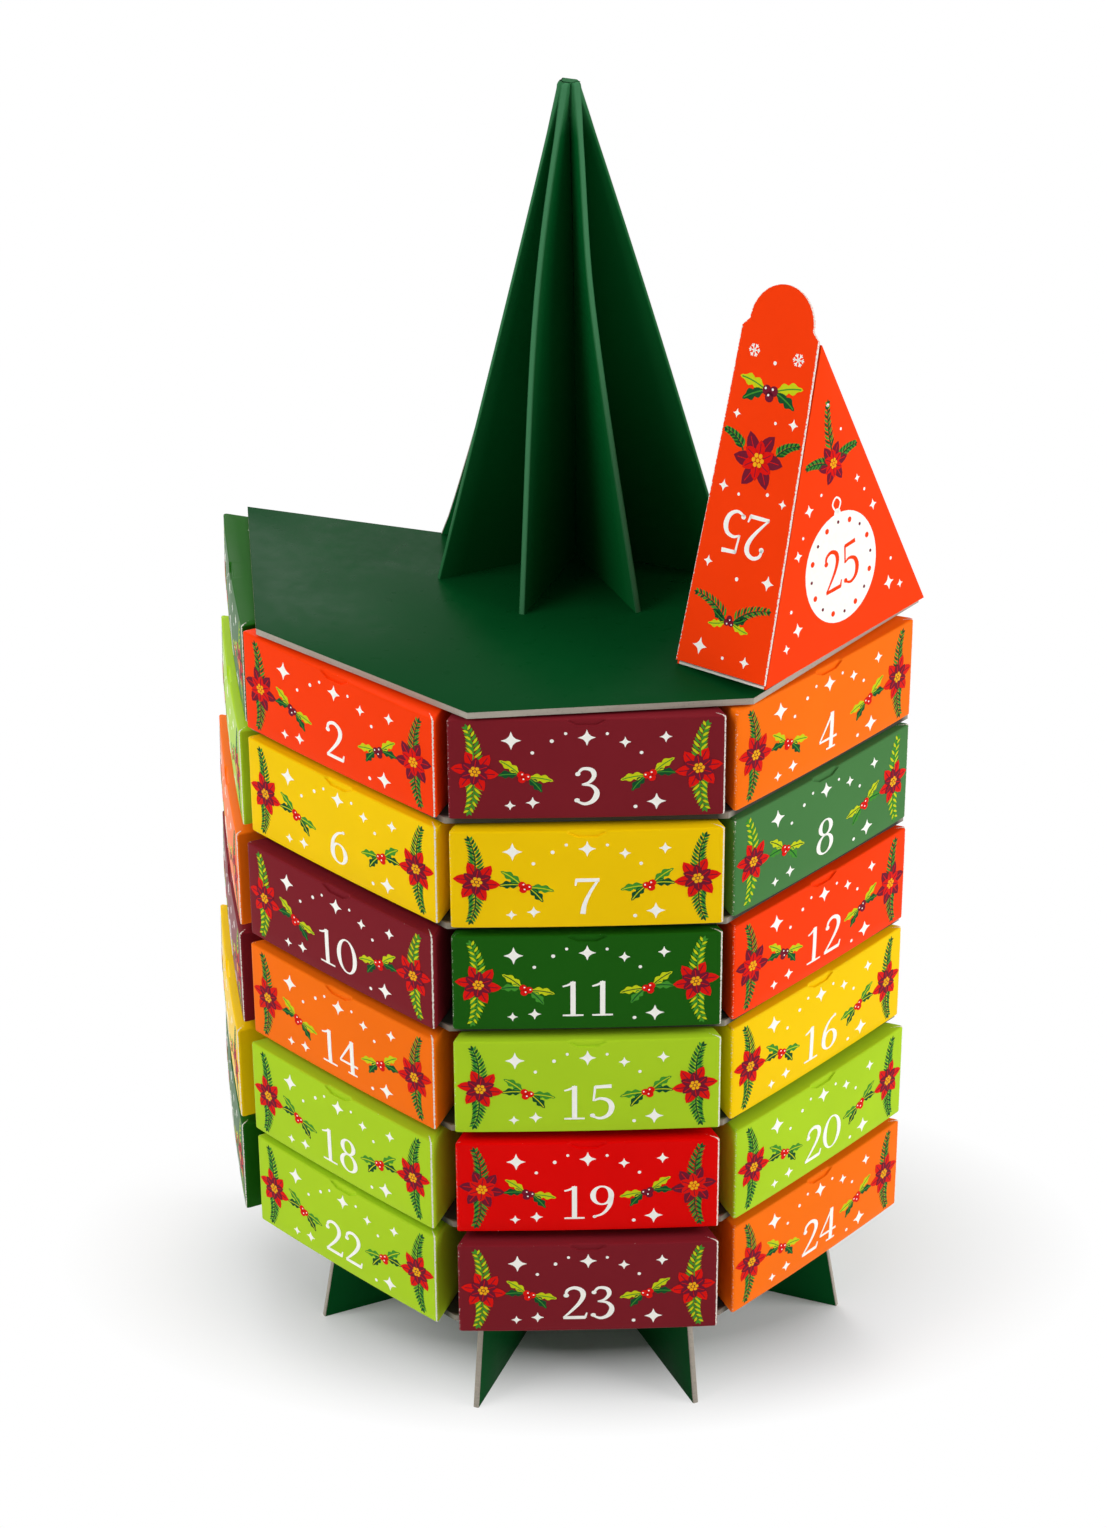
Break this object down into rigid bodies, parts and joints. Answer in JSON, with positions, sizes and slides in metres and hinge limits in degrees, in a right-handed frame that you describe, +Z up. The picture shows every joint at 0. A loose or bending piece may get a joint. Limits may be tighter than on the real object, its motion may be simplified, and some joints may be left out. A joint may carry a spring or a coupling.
{
  "type": "tea advent calendar",
  "caption": "Half octagon tower of numbered wedge cartons that slide between radial boards, with a board tree on top and one more carton standing beside it.",
  "frame": {"origin": "on the floor at the spine where the radial boards meet, on the flat back of the tower", "axes": "+Z up towards the tree tip, -Y out of the front between the two middle columns, +X towards the last column"},
  "size_m": [0.2001, 0.1094, 0.355],
  "materials": {
    "green_board": "satin",
    "grey_board": "matte",
    "carton_dark_green": "satin",
    "carton_red_orange": "satin",
    "carton_maroon": "satin",
    "carton_orange": "satin",
    "carton_lime": "satin",
    "carton_yellow": "satin",
    "carton_mid_green": "satin",
    "carton_red": "satin",
    "sachet_cloth": "matte"
  },
  "bodies": {
    "stand": {"radial_board_1": "green_board", "radial_board_2": "green_board", "radial_board_3": "green_board", "radial_board_4": "green_board", "radial_board_5": "green_board", "top_board": "green_board", "shelf_boards": "grey_board", "bottom_board": "grey_board"},
    "box_01": {"box_01": "carton_dark_green", "sachet_01": "sachet_cloth"},
    "box_02": {"box_02": "carton_red_orange", "sachet_02": "sachet_cloth"},
    "box_03": {"box_03": "carton_maroon", "sachet_03": "sachet_cloth"},
    "box_04": {"box_04": "carton_orange", "sachet_04": "sachet_cloth"},
    "box_05": {"box_05": "carton_lime", "sachet_05": "sachet_cloth"},
    "box_06": {"box_06": "carton_yellow", "sachet_06": "sachet_cloth"},
    "box_07": {"box_07": "carton_yellow", "sachet_07": "sachet_cloth"},
    "box_08": {"box_08": "carton_mid_green", "sachet_08": "sachet_cloth"},
    "box_09": {"box_09": "carton_orange", "sachet_09": "sachet_cloth"},
    "box_10": {"box_10": "carton_maroon", "sachet_10": "sachet_cloth"},
    "box_11": {"box_11": "carton_dark_green", "sachet_11": "sachet_cloth"},
    "box_12": {"box_12": "carton_red_orange", "sachet_12": "sachet_cloth"},
    "box_13": {"box_13": "carton_maroon", "sachet_13": "sachet_cloth"},
    "box_14": {"box_14": "carton_orange", "sachet_14": "sachet_cloth"},
    "box_15": {"box_15": "carton_lime", "sachet_15": "sachet_cloth"},
    "box_16": {"box_16": "carton_yellow", "sachet_16": "sachet_cloth"},
    "box_17": {"box_17": "carton_yellow", "sachet_17": "sachet_cloth"},
    "box_18": {"box_18": "carton_lime", "sachet_18": "sachet_cloth"},
    "box_19": {"box_19": "carton_red", "sachet_19": "sachet_cloth"},
    "box_20": {"box_20": "carton_lime", "sachet_20": "sachet_cloth"},
    "box_21": {"box_21": "carton_dark_green", "sachet_21": "sachet_cloth"},
    "box_22": {"box_22": "carton_lime", "sachet_22": "sachet_cloth"},
    "box_23": {"box_23": "carton_maroon", "sachet_23": "sachet_cloth"},
    "box_24": {"box_24": "carton_orange", "sachet_24": "sachet_cloth"},
    "box_25": {"box_25": "carton_red_orange", "sachet_25": "sachet_cloth"},
    "lid_25": {"lid_25": "carton_red_orange"}
  },
  "joints": [
    {"name": "box_01_slide", "type": "slide", "parent": "stand", "child": "box_01", "axis": [-0.91, -0.4147, 0], "range_m": [0, 0.09]},
    {"name": "box_02_slide", "type": "slide", "parent": "stand", "child": "box_02", "axis": [-0.3827, -0.9239, 0], "range_m": [-0.001, 0.09]},
    {"name": "box_03_slide", "type": "slide", "parent": "stand", "child": "box_03", "axis": [0.3827, -0.9239, 0], "range_m": [0, 0.09]},
    {"name": "box_04_slide", "type": "slide", "parent": "stand", "child": "box_04", "axis": [0.9239, -0.3827, 0], "range_m": [0, 0.09]},
    {"name": "box_05_slide", "type": "slide", "parent": "stand", "child": "box_05", "axis": [-0.91, -0.4147, 0], "range_m": [-0.002, 0.09]},
    {"name": "box_06_slide", "type": "slide", "parent": "stand", "child": "box_06", "axis": [-0.3827, -0.9239, 0], "range_m": [-0.001, 0.09]},
    {"name": "box_07_slide", "type": "slide", "parent": "stand", "child": "box_07", "axis": [0.3827, -0.9239, 0], "range_m": [-0.0015, 0.09]},
    {"name": "box_08_slide", "type": "slide", "parent": "stand", "child": "box_08", "axis": [0.9239, -0.3827, 0], "range_m": [0, 0.09]},
    {"name": "box_09_slide", "type": "slide", "parent": "stand", "child": "box_09", "axis": [-0.91, -0.4147, 0], "range_m": [-0.004, 0.09]},
    {"name": "box_10_slide", "type": "slide", "parent": "stand", "child": "box_10", "axis": [-0.3827, -0.9239, 0], "range_m": [-0.003, 0.09]},
    {"name": "box_11_slide", "type": "slide", "parent": "stand", "child": "box_11", "axis": [0.3827, -0.9239, 0], "range_m": [-0.001, 0.09]},
    {"name": "box_12_slide", "type": "slide", "parent": "stand", "child": "box_12", "axis": [0.9239, -0.3827, 0], "range_m": [-0.0005, 0.09]},
    {"name": "box_13_slide", "type": "slide", "parent": "stand", "child": "box_13", "axis": [-0.91, -0.4147, 0], "range_m": [-0.0045, 0.09]},
    {"name": "box_14_slide", "type": "slide", "parent": "stand", "child": "box_14", "axis": [-0.3827, -0.9239, 0], "range_m": [-0.0035, 0.09]},
    {"name": "box_15_slide", "type": "slide", "parent": "stand", "child": "box_15", "axis": [0.3827, -0.9239, 0], "range_m": [-0.0025, 0.09]},
    {"name": "box_16_slide", "type": "slide", "parent": "stand", "child": "box_16", "axis": [0.9239, -0.3827, 0], "range_m": [-0.0005, 0.09]},
    {"name": "box_17_slide", "type": "slide", "parent": "stand", "child": "box_17", "axis": [-0.91, -0.4147, 0], "range_m": [-0.0065, 0.09]},
    {"name": "box_18_slide", "type": "slide", "parent": "stand", "child": "box_18", "axis": [-0.3827, -0.9239, 0], "range_m": [-0.005, 0.09]},
    {"name": "box_19_slide", "type": "slide", "parent": "stand", "child": "box_19", "axis": [0.3827, -0.9239, 0], "range_m": [-0.0035, 0.09]},
    {"name": "box_20_slide", "type": "slide", "parent": "stand", "child": "box_20", "axis": [0.9239, -0.3827, 0], "range_m": [-0.0025, 0.09]},
    {"name": "box_21_slide", "type": "slide", "parent": "stand", "child": "box_21", "axis": [-0.91, -0.4147, 0], "range_m": [-0.0065, 0.09]},
    {"name": "box_22_slide", "type": "slide", "parent": "stand", "child": "box_22", "axis": [-0.3827, -0.9239, 0], "range_m": [-0.0045, 0.09]},
    {"name": "box_23_slide", "type": "slide", "parent": "stand", "child": "box_23", "axis": [0.3827, -0.9239, 0], "range_m": [-0.006, 0.09]},
    {"name": "box_24_slide", "type": "slide", "parent": "stand", "child": "box_24", "axis": [0.9239, -0.3827, 0], "range_m": [-0.0025, 0.09]},
    {"name": "box_25_lift", "type": "slide", "parent": "stand", "child": "box_25", "axis": [0, 0, 1], "range_m": [0, 0.06]},
    {"name": "lid_25_fold", "type": "hinge", "parent": "box_25", "child": "lid_25", "pos_m": [0.05905, -0.0552, 0.22825], "axis": [0.9368, -0.341, 0.0785], "range_deg": [0, 100]}
  ]
}
